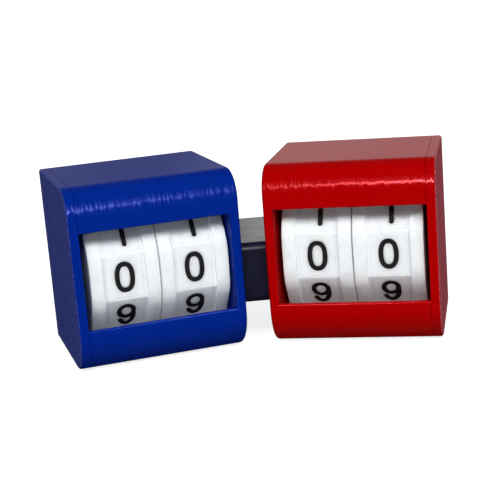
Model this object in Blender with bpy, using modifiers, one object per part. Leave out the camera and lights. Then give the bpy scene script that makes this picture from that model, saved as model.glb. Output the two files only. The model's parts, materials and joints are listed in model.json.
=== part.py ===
"""A tabletop scoreboard: two printed boxes joined at a shallow angle, each with two ten-sided number drums.

Run it with blender --background --python part.py, or from Blender's text editor.

Lengths are in metres and +Z is up. The board stands on z = 0 and its front faces -Y. The origin is under
its middle. The right box is the left one mirrored, except for the numerals, which read the same in both,
and for where its drums have slid to.

Each box has a frame of its own, an empty at the middle of its axle: x along the axle towards the reader's
right, y from the front to the back, z up. A piece of a box is placed in that frame and parented to it.
"""

import math

import bmesh
import bpy
from mathutils import Euler, Matrix, Vector
from mathutils.geometry import delaunay_2d_cdt

MM = 0.001

# The two boxes, and how they stand
BOX_WIDTH = 60.0 * MM
BOX_DEPTH = 58.5 * MM
BOX_HEIGHT = 65.5 * MM
BOX_YAW = math.radians(14.25)
FRONT_SLIT = 8.0 * MM

# The walls of a housing
WALL = 2.2 * MM
END_WALL = 3.5 * MM
TOP_FRONT_RADIUS = 10.0 * MM
BOTTOM_FRONT_RADIUS = 14.5 * MM
BACK_RADIUS = 1.2 * MM
CAVITY_RADIUS = 0.6 * MM
EDGE_RADIUS = 1.0 * MM
BELOW_WINDOW = 16.5 * MM
ABOVE_WINDOW = 15.0 * MM

# The side cover, its pegs and the posts that they go into
COVER = 3.2 * MM
PEG_RADIUS = 1.8 * MM
PEG_LENGTH = 6.5 * MM
POST_RADIUS = 3.5 * MM
POST_LENGTH = 10.0 * MM
POST_INSET = 3.0 * MM

# The axle, its sockets and the bosses round them
AXLE_RADIUS = 4.0 * MM
AXLE_CHAMFER = 0.5 * MM
SOCKET_DEPTH = 2.0 * MM
BOSS_RADIUS = 7.0 * MM
BOSS_HEIGHT = 0.4 * MM

# A drum: ten flats, a rim at each end and a lower band between them. The drums have some play along the
# axle, and stand off the middle of their room, towards the end wall, by their box's slide.
DRUM_SIDES = 10
DRUM_CLEARANCE = 0.6 * MM
RIM_RADIUS = 14.0 * MM
RIM_WIDTH = 4.8 * MM
BAND_DROP = 1.0 * MM
BAND_RADIUS = 1.6 * MM
DRUM_SHELL = 1.3 * MM
DRUM_WEB = 2.6 * MM
HUB_RADIUS = 9.0 * MM
DRUM_PLAY = 1.15 * MM
LEFT_SLIDE = 1.1 * MM
RIGHT_SLIDE = 0.1 * MM

# The numerals, which are let into the band
NUMERAL_HEIGHT = 10.8 * MM
NUMERAL_WIDTH = 7.0 * MM
STROKE = 1.65 * MM
INLAY = 0.8 * MM

# The detent strips behind the drums, and the ledges that keep them in place
STRIP_MARGIN = 0.4 * MM
STRIP_LENGTH = 40.0 * MM
STRIP_THICKNESS = 0.5 * MM
LEDGE_DEPTH = 3.0 * MM
LEDGE_HEIGHT = 2.0 * MM

# The black link between the boxes, and its screws
LINK_SETBACK = 5.5 * MM
LINK_BOTTOM = 16.2 * MM
LINK_HEIGHT = 21.8 * MM
LINK_CHAMFER = 2.6 * MM
SCREW_RADIUS = 1.5 * MM
SCREW_LENGTH = 10.0 * MM
HEAD_RADIUS = 3.0 * MM
HEAD_HEIGHT = 1.7 * MM
HEAD_RIM = 0.3 * MM
KEY_RADIUS = 1.15 * MM
KEY_DEPTH = 1.0 * MM

# Clearances, and how far a cutter passes the face that it cuts
SEAT_GAP = 0.3 * MM
RUN_GAP = 0.3 * MM
INLAY_GAP = 0.2 * MM
OVERRUN = 1.0 * MM
WELD = 0.001 * MM
PATCH_WELD = 0.03 * MM

# How finely round shapes are divided
LARGE_CORNER_STEPS = 8
SMALL_CORNER_STEPS = 2
EDGE_STEPS = 2
RIM_STEPS = 3
ROUND_SIDES = 24
PIN_SIDES = 12
LOOP_STEPS = 12
CAP_STEPS = 3

# The rounding of a side face stays inside the rounding of the corner that it runs past
EDGE_LIMIT_SHARE = 0.85

LEFT, RIGHT = -1, 1
DRUM_SLIDES = {LEFT: LEFT_SLIDE, RIGHT: RIGHT_SLIDE}
HALF_TURN = math.pi
TO_BOX_X = (HALF_TURN / 2, 0, HALF_TURN / 2)

# Places that follow from the sizes above
BOX_OFFSET = (FRONT_SLIT + BOX_WIDTH * math.cos(BOX_YAW) + BOX_DEPTH * math.sin(BOX_YAW)) / 2
SLIT_FRONT_Y = (BOX_WIDTH * math.sin(BOX_YAW) - BOX_DEPTH * math.cos(BOX_YAW)) / 2
ROOM_WIDTH = BOX_WIDTH - END_WALL - COVER
FACET_TURN = 2 * HALF_TURN / DRUM_SIDES
DRUM_WIDTH = (ROOM_WIDTH - 3 * RUN_GAP) / 2 - BOSS_HEIGHT - DRUM_PLAY
DRUM_REACH = min(BOX_DEPTH, BOX_HEIGHT) / 2 - WALL - DRUM_CLEARANCE
DRUM_APOTHEM = RIM_RADIUS + (DRUM_REACH - RIM_RADIUS) * math.cos(FACET_TURN / 2)
BAND_APOTHEM = DRUM_APOTHEM - BAND_DROP
BAND_WIDTH = DRUM_WIDTH - 2 * RIM_WIDTH
LINK_DEPTH = BOX_DEPTH * math.cos(BOX_YAW) - 2 * LINK_SETBACK
SCREW_REACH = BOSS_RADIUS + HEAD_RADIUS + SEAT_GAP

# The corners of a box seen from its cover's side, from the front foot round to the top front: which way
# each lies from the axle, back and up, the radius of its rounding and the steps that divide it
CASE_CORNERS = [
    (-1, -1, BOTTOM_FRONT_RADIUS, LARGE_CORNER_STEPS),
    (1, -1, BACK_RADIUS, SMALL_CORNER_STEPS),
    (1, 1, BACK_RADIUS, SMALL_CORNER_STEPS),
    (-1, 1, TOP_FRONT_RADIUS, LARGE_CORNER_STEPS),
]


# Outlines, as lists of points in a plane


def arc(centre, radii, start, end, steps):
    """Points along an ellipse's arc, both ends included. A circle has two equal radii."""
    turns = [start + (end - start) * step / steps for step in range(steps + 1)]
    return [(centre[0] + radii[0] * math.cos(t), centre[1] + radii[1] * math.sin(t)) for t in turns]


def case_outline(inset):
    """The side view of a box, (y, z) about its axle, drawn in by the inset."""
    points = []
    for quarter, (back, up, radius, steps) in enumerate(CASE_CORNERS):
        rounding = max(radius - inset, CAVITY_RADIUS)
        middle_y = back * (BOX_DEPTH / 2 - inset - rounding)
        middle_z = up * (BOX_HEIGHT / 2 - inset - rounding)
        start = HALF_TURN + quarter * HALF_TURN / 2
        points += arc((middle_y, middle_z), (rounding, rounding), start, start + HALF_TURN / 2, steps)
    return points


def post_places():
    """The middles of the four posts, on the diagonals of the corners, an inset in from the wall."""
    places = []
    for back, up, radius, _ in CASE_CORNERS:
        reach = (radius - WALL - POST_INSET) / math.sqrt(2)
        places.append(
            (back * (BOX_DEPTH / 2 - radius + reach), up * (BOX_HEIGHT / 2 - radius + reach))
        )
    return places


def drum_outline(apothem, radius, steps):
    """A regular ten-sided outline with round corners. One flat faces the front, at -y."""
    reach = (apothem - radius) / math.cos(FACET_TURN / 2)
    points = []
    for side in range(DRUM_SIDES):
        start = side * FACET_TURN
        corner = start + FACET_TURN / 2
        middle = (reach * math.cos(corner), reach * math.sin(corner))
        points += arc(middle, (radius, radius), start, start + FACET_TURN, steps)
    return points


def circle_outline(radius, sides):
    return arc((0, 0), (radius, radius), 0, 2 * HALF_TURN, sides)[:-1]


# Solids, cuts and placing


def collection(name):
    made = bpy.data.collections.new(name)
    bpy.context.scene.collection.children.link(made)
    return made


def new_object(name, mesh, group):
    made = bpy.data.objects.new(name, mesh)
    group.objects.link(made)
    return made


def prism(name, loops, length, group):
    """A straight solid on one outline, or on an outline and the holes in it. Its plane is midway along it."""
    curve = bpy.data.curves.new(name, "CURVE")
    curve.dimensions = "2D"
    curve.fill_mode = "BOTH"
    curve.extrude = length / 2
    for loop in loops:
        spline = curve.splines.new("POLY")
        spline.points.add(len(loop) - 1)
        for point, (across, up) in zip(spline.points, loop):
            point.co = (across, up, 0, 1)
        spline.use_cyclic_u = True
    guide = new_object(name + "_outline", curve, group)
    graph = bpy.context.evaluated_depsgraph_get()
    mesh = bpy.data.meshes.new_from_object(guide.evaluated_get(graph))
    bpy.data.objects.remove(guide)
    bpy.data.curves.remove(curve)
    mesh.materials.clear()
    mesh.name = name
    work = bmesh.new()
    work.from_mesh(mesh)
    bmesh.ops.remove_doubles(work, verts=work.verts, dist=WELD)
    bmesh.ops.dissolve_limit(work, angle_limit=math.radians(1), verts=work.verts, edges=work.edges)
    bmesh.ops.recalc_face_normals(work, faces=work.faces)
    work.to_mesh(mesh)
    work.free()
    return new_object(name, mesh, group)


def rod(name, radius, length, sides, group):
    """A cylinder about its own z."""
    mesh = bpy.data.meshes.new(name)
    work = bmesh.new()
    bmesh.ops.create_cone(
        work, cap_ends=True, segments=sides, radius1=radius, radius2=radius, depth=length
    )
    work.to_mesh(mesh)
    work.free()
    return new_object(name, mesh, group)


def block(name, size, group):
    """A box with the given sides along x, y and z, about its own middle."""
    mesh = bpy.data.meshes.new(name)
    work = bmesh.new()
    bmesh.ops.create_cube(work, size=1)
    bmesh.ops.scale(work, vec=size, verts=work.verts)
    work.to_mesh(mesh)
    work.free()
    return new_object(name, mesh, group)


def turned(name, profile, sides, group):
    """A turned solid about z. The profile runs down its outer side from the axis back to the axis."""
    mesh = bpy.data.meshes.new(name)
    points = [(radius, 0, height) for radius, height in profile]
    mesh.from_pydata(points, [(i, i + 1) for i in range(len(points) - 1)], [])
    made = new_object(name, mesh, group)
    screw = made.modifiers.new("turn", "SCREW")
    screw.axis = "Z"
    screw.steps = sides
    screw.render_steps = sides
    screw.use_merge_vertices = True
    screw.merge_threshold = WELD
    return made


def round_edges(obj, chosen, radius, steps):
    """Rounds the edges of the object's mesh whose two end points pass the test."""
    work = bmesh.new()
    work.from_mesh(obj.data)
    edges = [edge for edge in work.edges if chosen(*(vert.co for vert in edge.verts))]
    bmesh.ops.bevel(
        work, geom=edges, offset=radius, segments=steps, profile=0.5, affect="EDGES"
    )
    work.to_mesh(obj.data)
    work.free()


def combine(obj, other, operation):
    change = obj.modifiers.new(other.name, "BOOLEAN")
    change.object = other
    change.operation = operation
    change.solver = "EXACT"


def as_cutter(obj):
    obj.hide_render = True
    obj.display_type = "WIRE"
    return obj


def cut(obj, cutter):
    combine(obj, as_cutter(cutter), "DIFFERENCE")


def add(obj, extra):
    combine(obj, as_cutter(extra), "UNION")


def place(obj, parent, location, rotation=(0, 0, 0)):
    obj.parent = parent
    obj.location = location
    obj.rotation_euler = rotation
    return obj


def smooth(obj):
    obj.data.shade_smooth()
    obj.data.set_sharp_from_angle(angle=math.radians(30))


def plastic(name, colour, roughness):
    material = bpy.data.materials.new(name)
    material.use_nodes = True
    shader = material.node_tree.nodes["Principled BSDF"]
    shader.inputs["Base Color"].default_value = (*colour, 1)
    shader.inputs["Roughness"].default_value = roughness
    shader.inputs["Metallic"].default_value = 0
    return material


def steel(name):
    material = plastic(name, (0.35, 0.35, 0.36), 0.35)
    material.node_tree.nodes["Principled BSDF"].inputs["Metallic"].default_value = 1
    return material


# The numerals: each is a few strokes of one width with round ends


def loop_stroke(middle, radii, squareness=2.0):
    """A closed stroke. Squareness 2 is an ellipse, and more fills out its corners."""
    points = []
    for step in range(LOOP_STEPS):
        turn = 2 * HALF_TURN * step / LOOP_STEPS
        across, up = math.cos(turn), math.sin(turn)
        points.append(
            (
                middle[0] + radii[0] * math.copysign(abs(across) ** (2 / squareness), across),
                middle[1] + radii[1] * math.copysign(abs(up) ** (2 / squareness), up),
            )
        )
    return points, True


def arc_stroke(middle, radii, start, end, *more):
    """An open stroke along an ellipse's arc, in degrees, and on through more points."""
    steps = max(2, round(abs(end - start) / 360 * LOOP_STEPS))
    return arc(middle, radii, math.radians(start), math.radians(end), steps) + list(more), False


def line_stroke(*points):
    return list(points), False


def numeral_strokes(digit):
    """The middle lines of the strokes. 1 and -1 are the edges of the numeral, across and up."""
    six_shares = [
        loop_stroke((0, -0.41), (0.96, 0.62)),
        arc_stroke((0, -0.02), (0.97, 1.02), 185, 35),
    ]
    stroke_shares = {
        0: [loop_stroke((0, 0), (1, 1), 2.4)],
        1: [line_stroke((0.5, -0.97), (0.5, 1)), line_stroke((0.5, 1), (-0.55, 0.56))],
        2: [
            arc_stroke((0, 0.42), (0.95, 0.58), 165, -30, (-0.95, -1)),
            line_stroke((-0.95, -1), (1, -1)),
        ],
        3: [
            arc_stroke((0, 0.52), (0.9, 0.48), 150, -90),
            arc_stroke((0, -0.48), (1, 0.52), 90, -150),
        ],
        4: [
            line_stroke((0.35, 1), (-1, -0.42)),
            line_stroke((-1, -0.42), (1, -0.42)),
            line_stroke((0.45, 0.25), (0.45, -1)),
        ],
        5: [
            line_stroke((0.85, 1), (-0.7, 1)),
            line_stroke((-0.7, 1), (-0.82, 0.06)),
            arc_stroke((0, -0.36), (1, 0.64), 139, -150),
        ],
        6: six_shares,
        7: [line_stroke((-1, 1), (1, 1)), line_stroke((1, 1), (-0.35, -1))],
        8: [loop_stroke((0, 0.52), (0.86, 0.48)), loop_stroke((0, -0.46), (1, 0.54))],
        9: [([(-x, -y) for x, y in points], closed) for points, closed in six_shares],
    }
    return stroke_shares[digit]


def stroke_patches(points, closed, width):
    """Convex patches that together cover a stroke of the given width."""
    path = [Vector(point) for point in points]
    count = len(path)
    sides = []
    for index, point in enumerate(path):
        before = path[index - 1] if closed or index > 0 else point
        after = path[(index + 1) % count] if closed or index < count - 1 else point
        along = (after - before).normalized()
        sides.append(Vector((-along.y, along.x)) * width / 2)
    patches = []
    for index in range(count if closed else count - 1):
        after = (index + 1) % count
        patches.append(
            [
                path[index] + sides[index],
                path[index] - sides[index],
                path[after] - sides[after],
                path[after] + sides[after],
            ]
        )
    if not closed:
        for end, turn in ((0, 1), (-1, -1)):
            steps = [Matrix.Rotation(turn * HALF_TURN * i / CAP_STEPS, 2) for i in range(CAP_STEPS + 1)]
            patches.append([path[end] + step @ sides[end] for step in steps])
    return patches


def covers(patch, point):
    """Whether a convex patch holds the point."""
    sides = [(after - before).cross(point - before) for before, after in zip(patch, patch[1:] + patch[:1])]
    return all(side >= 0 for side in sides) or all(side <= 0 for side in sides)


def numeral_mesh(name, digit, width, thickness):
    """A flat numeral in the xy plane, from z = 0 to its thickness, with strokes of the given width."""
    half_across = (NUMERAL_WIDTH - STROKE) / 2
    half_up = (NUMERAL_HEIGHT - STROKE) / 2
    points, patches = [], []
    for stroke, closed in numeral_strokes(digit):
        placed = [(across * half_across, up * half_up) for across, up in stroke]
        for patch in stroke_patches(placed, closed, width):
            patches.append(list(range(len(points), len(points) + len(patch))))
            points += patch
    flat_points, _, flat_faces, _, _, _ = delaunay_2d_cdt(points, [], patches, 0, PATCH_WELD)
    work = bmesh.new()
    verts = [work.verts.new((*point, 0)) for point in flat_points]
    for face in flat_faces:
        middle = sum((flat_points[index] for index in face), Vector((0, 0))) / len(face)
        if any(covers([points[index] for index in patch], middle) for patch in patches):
            work.faces.new([verts[index] for index in face])
    loose = [vert for vert in work.verts if not vert.link_faces]
    bmesh.ops.delete(work, geom=loose, context="VERTS")
    bmesh.ops.remove_doubles(work, verts=work.verts, dist=PATCH_WELD)
    bmesh.ops.dissolve_degenerate(work, dist=PATCH_WELD, edges=work.edges)
    bmesh.ops.dissolve_limit(work, angle_limit=math.radians(1), verts=work.verts, edges=work.edges)
    grown = bmesh.ops.extrude_face_region(work, geom=work.faces[:])
    lifted = [item for item in grown["geom"] if isinstance(item, bmesh.types.BMVert)]
    bmesh.ops.translate(work, vec=(0, 0, thickness), verts=lifted)
    bmesh.ops.recalc_face_normals(work, faces=work.faces)
    mesh = bpy.data.meshes.new(name)
    work.to_mesh(mesh)
    work.free()
    return mesh


def facet_place(digit, height):
    """Where a numeral lies on its drum: its location and rotation, with its back at the given apothem."""
    turn = digit * FACET_TURN
    location = (0, -height * math.cos(turn), height * math.sin(turn))
    return location, (HALF_TURN / 2 - turn, 0, 0)


# The pieces of one box


def box_frame(name, side, group):
    """The empty that carries a box: the left box is turned anticlockwise and the right one clockwise."""
    frame = bpy.data.objects.new(name, None)
    group.objects.link(frame)
    frame.empty_display_size = BOX_WIDTH / 2
    frame.location = (side * BOX_OFFSET, 0, BOX_HEIGHT / 2)
    frame.rotation_euler = (0, 0, -side * BOX_YAW)
    return frame


def round_side_face(obj, side, length):
    """Rounds the outline of a box's outer face, at one end of a prism, inside the rounding of its corners."""

    def on_face(first, second):
        return min(side * first.z, side * second.z) > length / 2 - WELD

    round_edges(obj, on_face, min(EDGE_RADIUS, BACK_RADIUS * EDGE_LIMIT_SHARE), EDGE_STEPS)


def housing(name, inward, frame, group, cutters, material):
    """The walls and the end wall next to the other box, in one piece that is open towards its cover."""
    length = BOX_WIDTH - COVER - SEAT_GAP
    middle_x = inward * (BOX_WIDTH - length) / 2
    room_end = inward * (BOX_WIDTH / 2 - END_WALL)
    open_end = -inward * (BOX_WIDTH / 2 - COVER - SEAT_GAP)
    body = prism(name, [case_outline(0)], length, group)
    place(body, frame, (middle_x, 0, 0), TO_BOX_X)
    round_side_face(body, inward, length)

    room_length = abs(room_end - open_end) + OVERRUN
    room = prism(name + "_room", [case_outline(WALL)], room_length, cutters)
    place(room, frame, (room_end - inward * room_length / 2, 0, 0), TO_BOX_X)
    for index, (post_y, post_z) in enumerate(post_places()):
        post = rod(f"{name}_post_{index}", POST_RADIUS, POST_LENGTH + OVERRUN, PIN_SIDES, cutters)
        post_x = open_end + inward * (POST_LENGTH - OVERRUN) / 2
        cut(room, place(post, frame, (post_x, post_y, post_z), TO_BOX_X))
    boss = rod(name + "_boss", BOSS_RADIUS, BOSS_HEIGHT + OVERRUN, ROUND_SIDES, cutters)
    cut(room, place(boss, frame, (room_end - inward * (BOSS_HEIGHT - OVERRUN) / 2, 0, 0), TO_BOX_X))
    for index, up in enumerate((-1, 1)):
        ledge_size = (BOX_WIDTH, LEDGE_DEPTH + OVERRUN, LEDGE_HEIGHT)
        ledge = block(f"{name}_ledge_{index}", ledge_size, cutters)
        ledge_y = BOX_DEPTH / 2 - WALL - (LEDGE_DEPTH - OVERRUN) / 2
        ledge_z = up * (STRIP_LENGTH / 2 + SEAT_GAP + LEDGE_HEIGHT / 2)
        cut(room, place(ledge, frame, (0, ledge_y, ledge_z)))
    cut(body, room)

    window_height = BOX_HEIGHT - BELOW_WINDOW - ABOVE_WINDOW
    window = block(name + "_window", (room_length, 2 * WALL + OVERRUN, window_height), cutters)
    window_y = -BOX_DEPTH / 2 + WALL - OVERRUN / 2
    window_z = (BELOW_WINDOW - ABOVE_WINDOW) / 2
    cut(body, place(window, frame, (room_end - inward * room_length / 2, window_y, window_z)))

    for index, (post_y, post_z) in enumerate(post_places()):
        depth = PEG_LENGTH + SEAT_GAP + OVERRUN
        hole = rod(f"{name}_peg_hole_{index}", PEG_RADIUS + SEAT_GAP, depth, PIN_SIDES, cutters)
        hole_x = open_end + inward * (depth / 2 - OVERRUN)
        cut(body, place(hole, frame, (hole_x, post_y, post_z), TO_BOX_X))
    cut(body, axle_socket(name, inward, END_WALL, frame, cutters))
    for index, end in enumerate((-1, 1)):
        hole = screw_shape(f"{name}_screw_hole_{index}", SEAT_GAP, OVERRUN, SCREW_LENGTH + OVERRUN, cutters)
        cut(body, place(hole, frame, *screw_place(inward, end)))
    body.data.materials.append(material)
    return body


def axle_socket(name, end, wall, frame, cutters):
    """The cutter for the blind hole at one end of the axle, through the boss and into the wall."""
    depth = SOCKET_DEPTH + BOSS_HEIGHT + OVERRUN
    socket = rod(name + "_axle_socket", AXLE_RADIUS + SEAT_GAP, depth, ROUND_SIDES, cutters)
    floor_x = end * (BOX_WIDTH / 2 - wall + SOCKET_DEPTH)
    return place(socket, frame, (floor_x - end * depth / 2, 0, 0), TO_BOX_X)


def side_cover(name, inward, frame, group, cutters, material):
    """The plate that closes a box's outer side, with four pegs and the boss of the axle's outer end."""
    outer_x = -inward * BOX_WIDTH / 2
    plate = prism(name, [case_outline(0)], COVER, group)
    place(plate, frame, (outer_x + inward * COVER / 2, 0, 0), TO_BOX_X)
    round_side_face(plate, -inward, COVER)
    inner_x = outer_x + inward * COVER
    for index, (post_y, post_z) in enumerate(post_places()):
        peg = rod(f"{name}_peg_{index}", PEG_RADIUS, PEG_LENGTH + OVERRUN, PIN_SIDES, cutters)
        peg_x = inner_x + inward * (PEG_LENGTH - OVERRUN) / 2
        add(plate, place(peg, frame, (peg_x, post_y, post_z), TO_BOX_X))
    boss = rod(name + "_boss", BOSS_RADIUS, BOSS_HEIGHT + OVERRUN, ROUND_SIDES, cutters)
    add(plate, place(boss, frame, (inner_x + inward * (BOSS_HEIGHT - OVERRUN) / 2, 0, 0), TO_BOX_X))
    cut(plate, axle_socket(name, -inward, COVER, frame, cutters))
    plate.data.materials.append(material)
    return plate


def room_middle(inward):
    """The middle of the room between the end wall and the cover, along the axle."""
    return inward * (COVER - END_WALL) / 2


def drum_middle(end, inward):
    """The middle of the tens drum, end -1, or of the units drum, end 1."""
    slide = inward * DRUM_SLIDES[-inward]
    return room_middle(inward) + slide + end * (DRUM_WIDTH + RUN_GAP) / 2


def axle(name, inward, frame, group, material):
    """A plain rod with chamfered ends, which stands still in its two sockets while the drums turn on it."""
    half = ROOM_WIDTH / 2 + SOCKET_DEPTH - SEAT_GAP
    profile = [
        (0, half),
        (AXLE_RADIUS - AXLE_CHAMFER, half),
        (AXLE_RADIUS, half - AXLE_CHAMFER),
        (AXLE_RADIUS, AXLE_CHAMFER - half),
        (AXLE_RADIUS - AXLE_CHAMFER, -half),
        (0, -half),
    ]
    made = turned(name, profile, ROUND_SIDES, group)
    place(made, frame, (room_middle(inward), 0, 0), TO_BOX_X)
    made.data.materials.append(material)
    return made


def drum(name, end, inward, frame, group, cutters, pockets, material):
    """A number drum, closed at its outer end and open towards its neighbour. Its origin is on the axle."""
    made = prism(name, [drum_outline(DRUM_APOTHEM, RIM_RADIUS, RIM_STEPS)], DRUM_WIDTH, group)
    made.data.transform(Euler(TO_BOX_X).to_matrix().to_4x4())
    place(made, frame, (drum_middle(end, inward), 0, 0))
    around = circle_outline(DRUM_APOTHEM + RIM_RADIUS, ROUND_SIDES)
    band = drum_outline(BAND_APOTHEM, BAND_RADIUS, 1)
    groove = prism(name + "_groove", [around, band], BAND_WIDTH, cutters)
    cut(made, place(groove, made, (0, 0, 0), TO_BOX_X))
    wall_inside = drum_outline(BAND_APOTHEM - INLAY - INLAY_GAP - DRUM_SHELL, BAND_RADIUS, 1)
    hub_outside = circle_outline(HUB_RADIUS, ROUND_SIDES)
    hollow_length = DRUM_WIDTH - DRUM_WEB + OVERRUN
    hollow = prism(name + "_hollow", [wall_inside, hub_outside], hollow_length, cutters)
    cut(made, place(hollow, made, (-end * (DRUM_WEB + OVERRUN) / 2, 0, 0), TO_BOX_X))
    bore = rod(name + "_bore", AXLE_RADIUS + RUN_GAP, DRUM_WIDTH + 2 * OVERRUN, ROUND_SIDES, cutters)
    cut(made, place(bore, made, (0, 0, 0), TO_BOX_X))
    cut(made, place(new_object(name + "_pockets", pockets, cutters), made, (0, 0, 0)))
    made.data.materials.append(material)
    return made


def pocket_mesh():
    """The ten pockets of a drum, as one mesh of ten separate solids about the axle."""
    work = bmesh.new()
    for digit in range(DRUM_SIDES):
        pocket = numeral_mesh("pocket", digit, STROKE + 2 * INLAY_GAP, INLAY + INLAY_GAP + OVERRUN)
        location, rotation = facet_place(digit, BAND_APOTHEM - INLAY - INLAY_GAP)
        turn = Matrix.Rotation(rotation[0], 4, "X")
        pocket.transform(Matrix.Translation(location) @ turn)
        work.from_mesh(pocket)
        bpy.data.meshes.remove(pocket)
    mesh = bpy.data.meshes.new("number_pockets")
    work.to_mesh(mesh)
    work.free()
    return mesh


def detent_strip(name, end, inward, frame, group, material):
    """A thin flexible strip: its middle lies on the drum's rear flat and its ends on the back wall."""
    near = DRUM_APOTHEM + SEAT_GAP
    far = BOX_DEPTH / 2 - WALL - SEAT_GAP - STRIP_THICKNESS
    bow_shares = [(-1, 1), (-0.85, 1), (-0.45, 0), (0.45, 0), (0.85, 1), (1, 1)]
    front = [
        (near + (far - near) * back, STRIP_LENGTH / 2 * along) for along, back in bow_shares
    ]
    rear = [(y + STRIP_THICKNESS, z) for y, z in reversed(front)]
    made = prism(name, [front + rear], DRUM_WIDTH - 2 * STRIP_MARGIN, group)
    place(made, frame, (drum_middle(end, inward), 0, 0), TO_BOX_X)
    made.data.materials.append(material)
    return made


# The link and its screws


def screw_place(inward, end):
    """Where the front screw, end -1, or the rear one, end 1, goes through a box's end wall.

    Its head lies flush in the wall's inner face, just clear of the boss, and its tip points at the other box.
    """
    location = (
        inward * (BOX_WIDTH / 2 - END_WALL),
        end * SCREW_REACH,
        LINK_BOTTOM + LINK_HEIGHT / 2 - BOX_HEIGHT / 2,
    )
    return location, (0, -inward * HALF_TURN / 2, 0)


def screw_shape(name, gap, above, length, group):
    """A countersunk screw with its head's face at z = 0 and its tip below, or the hole that it goes into."""
    profile = [
        (0, above),
        (HEAD_RADIUS + gap, above),
        (HEAD_RADIUS + gap, -HEAD_RIM - gap),
        (SCREW_RADIUS + gap, -HEAD_HEIGHT - gap),
        (SCREW_RADIUS + gap, -length),
        (0, -length),
    ]
    return turned(name, profile, PIN_SIDES, group)


def link_screw(name, inward, end, frame, group, cutters, material):
    made = screw_shape(name, 0, 0, SCREW_LENGTH, group)
    place(made, frame, *screw_place(inward, end))
    key = prism(name + "_key", [circle_outline(KEY_RADIUS, 6)], 2 * KEY_DEPTH, cutters)
    cut(made, place(key, made, (0, 0, 0)))
    made.data.materials.append(material)
    return made


def link(name, frames, group, cutters, material):
    """The wedge that holds the boxes together. Its sides lie along their end walls."""
    front_y = SLIT_FRONT_Y + LINK_SETBACK
    back_y = front_y + LINK_DEPTH

    def half_width(y):
        return FRONT_SLIT / 2 + (y - SLIT_FRONT_Y) * math.tan(BOX_YAW) - SEAT_GAP / math.cos(BOX_YAW)

    outline = [
        (-half_width(front_y), front_y),
        (half_width(front_y), front_y),
        (half_width(back_y), back_y),
        (-half_width(back_y), back_y),
    ]
    made = prism(name, [outline], LINK_HEIGHT, group)

    def across_the_front(first, second):
        return max(first.y, second.y) < front_y + WELD and abs(first.z - second.z) < WELD

    round_edges(made, across_the_front, LINK_CHAMFER, EDGE_STEPS)
    made.location = (0, 0, LINK_BOTTOM + LINK_HEIGHT / 2)
    for box, (side, frame) in enumerate(frames.items()):
        for index, end in enumerate((-1, 1)):
            hole_name = f"{name}_screw_hole_{box}_{index}"
            hole = screw_shape(hole_name, SEAT_GAP, OVERRUN, SCREW_LENGTH + SEAT_GAP, cutters)
            cut(made, place(hole, frame, *screw_place(-side, end)))
    made.data.materials.append(material)
    return made


def build():
    for obj in list(bpy.data.objects):
        bpy.data.objects.remove(obj)
    group = collection("tabletop_scoreboard")
    cutters = collection("cutters")
    white = plastic("white_printed_plastic", (0.80, 0.80, 0.79), 0.45)
    black = plastic("black_printed_plastic", (0.012, 0.012, 0.014), 0.40)
    grey = plastic("grey_printed_plastic", (0.25, 0.25, 0.26), 0.45)
    clear = plastic("strip_plastic", (0.55, 0.60, 0.62), 0.25)
    screw_steel = steel("screw_steel")
    case_plastics = {
        LEFT: plastic("blue_printed_plastic", (0.004, 0.020, 0.275), 0.35),
        RIGHT: plastic("red_printed_plastic", (0.390, 0.002, 0.004), 0.35),
    }
    pockets = pocket_mesh()
    numerals = [numeral_mesh(f"numeral_{digit}", digit, STROKE, INLAY) for digit in range(DRUM_SIDES)]
    for mesh in numerals:
        mesh.materials.append(black)
    frames = {}
    for side, box_name in ((LEFT, "left"), (RIGHT, "right")):
        inward = -side
        frame = box_frame(box_name + "_box", side, group)
        frames[side] = frame
        case_plastic = case_plastics[side]
        smooth(housing(box_name + "_housing", inward, frame, group, cutters, case_plastic))
        smooth(side_cover(box_name + "_side_cover", inward, frame, group, cutters, case_plastic))
        smooth(axle(box_name + "_axle", inward, frame, group, grey))
        for end, wheel in ((LEFT, "tens"), (RIGHT, "units")):
            wheel_name = f"{box_name}_{wheel}"
            number_drum = drum(
                wheel_name + "_drum", end, inward, frame, group, cutters, pockets, white
            )
            smooth(number_drum)
            for digit, mesh in enumerate(numerals):
                numeral = new_object(f"{wheel_name}_numeral_{digit}", mesh, group)
                place(numeral, number_drum, *facet_place(digit, BAND_APOTHEM - INLAY))
            detent_strip(wheel_name + "_detent_strip", end, inward, frame, group, clear)
        for end, where in ((-1, "front"), (1, "rear")):
            screw_name = f"{box_name}_{where}_link_screw"
            smooth(link_screw(screw_name, inward, end, frame, group, cutters, screw_steel))
    link("link", frames, group, cutters, black)


build()
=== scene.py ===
"""The looks of the tabletop scoreboard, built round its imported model.

Lengths are in metres. Each box has a frame of its own: x along its axle towards the reader's right, y from
the front to the back, z up, with its origin in the middle of the axle. Pieces of a box are made in it.
"""

import json
import math

import bmesh
import bpy
from mathutils import Matrix, Vector
from mathutils.geometry import delaunay_2d_cdt


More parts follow.
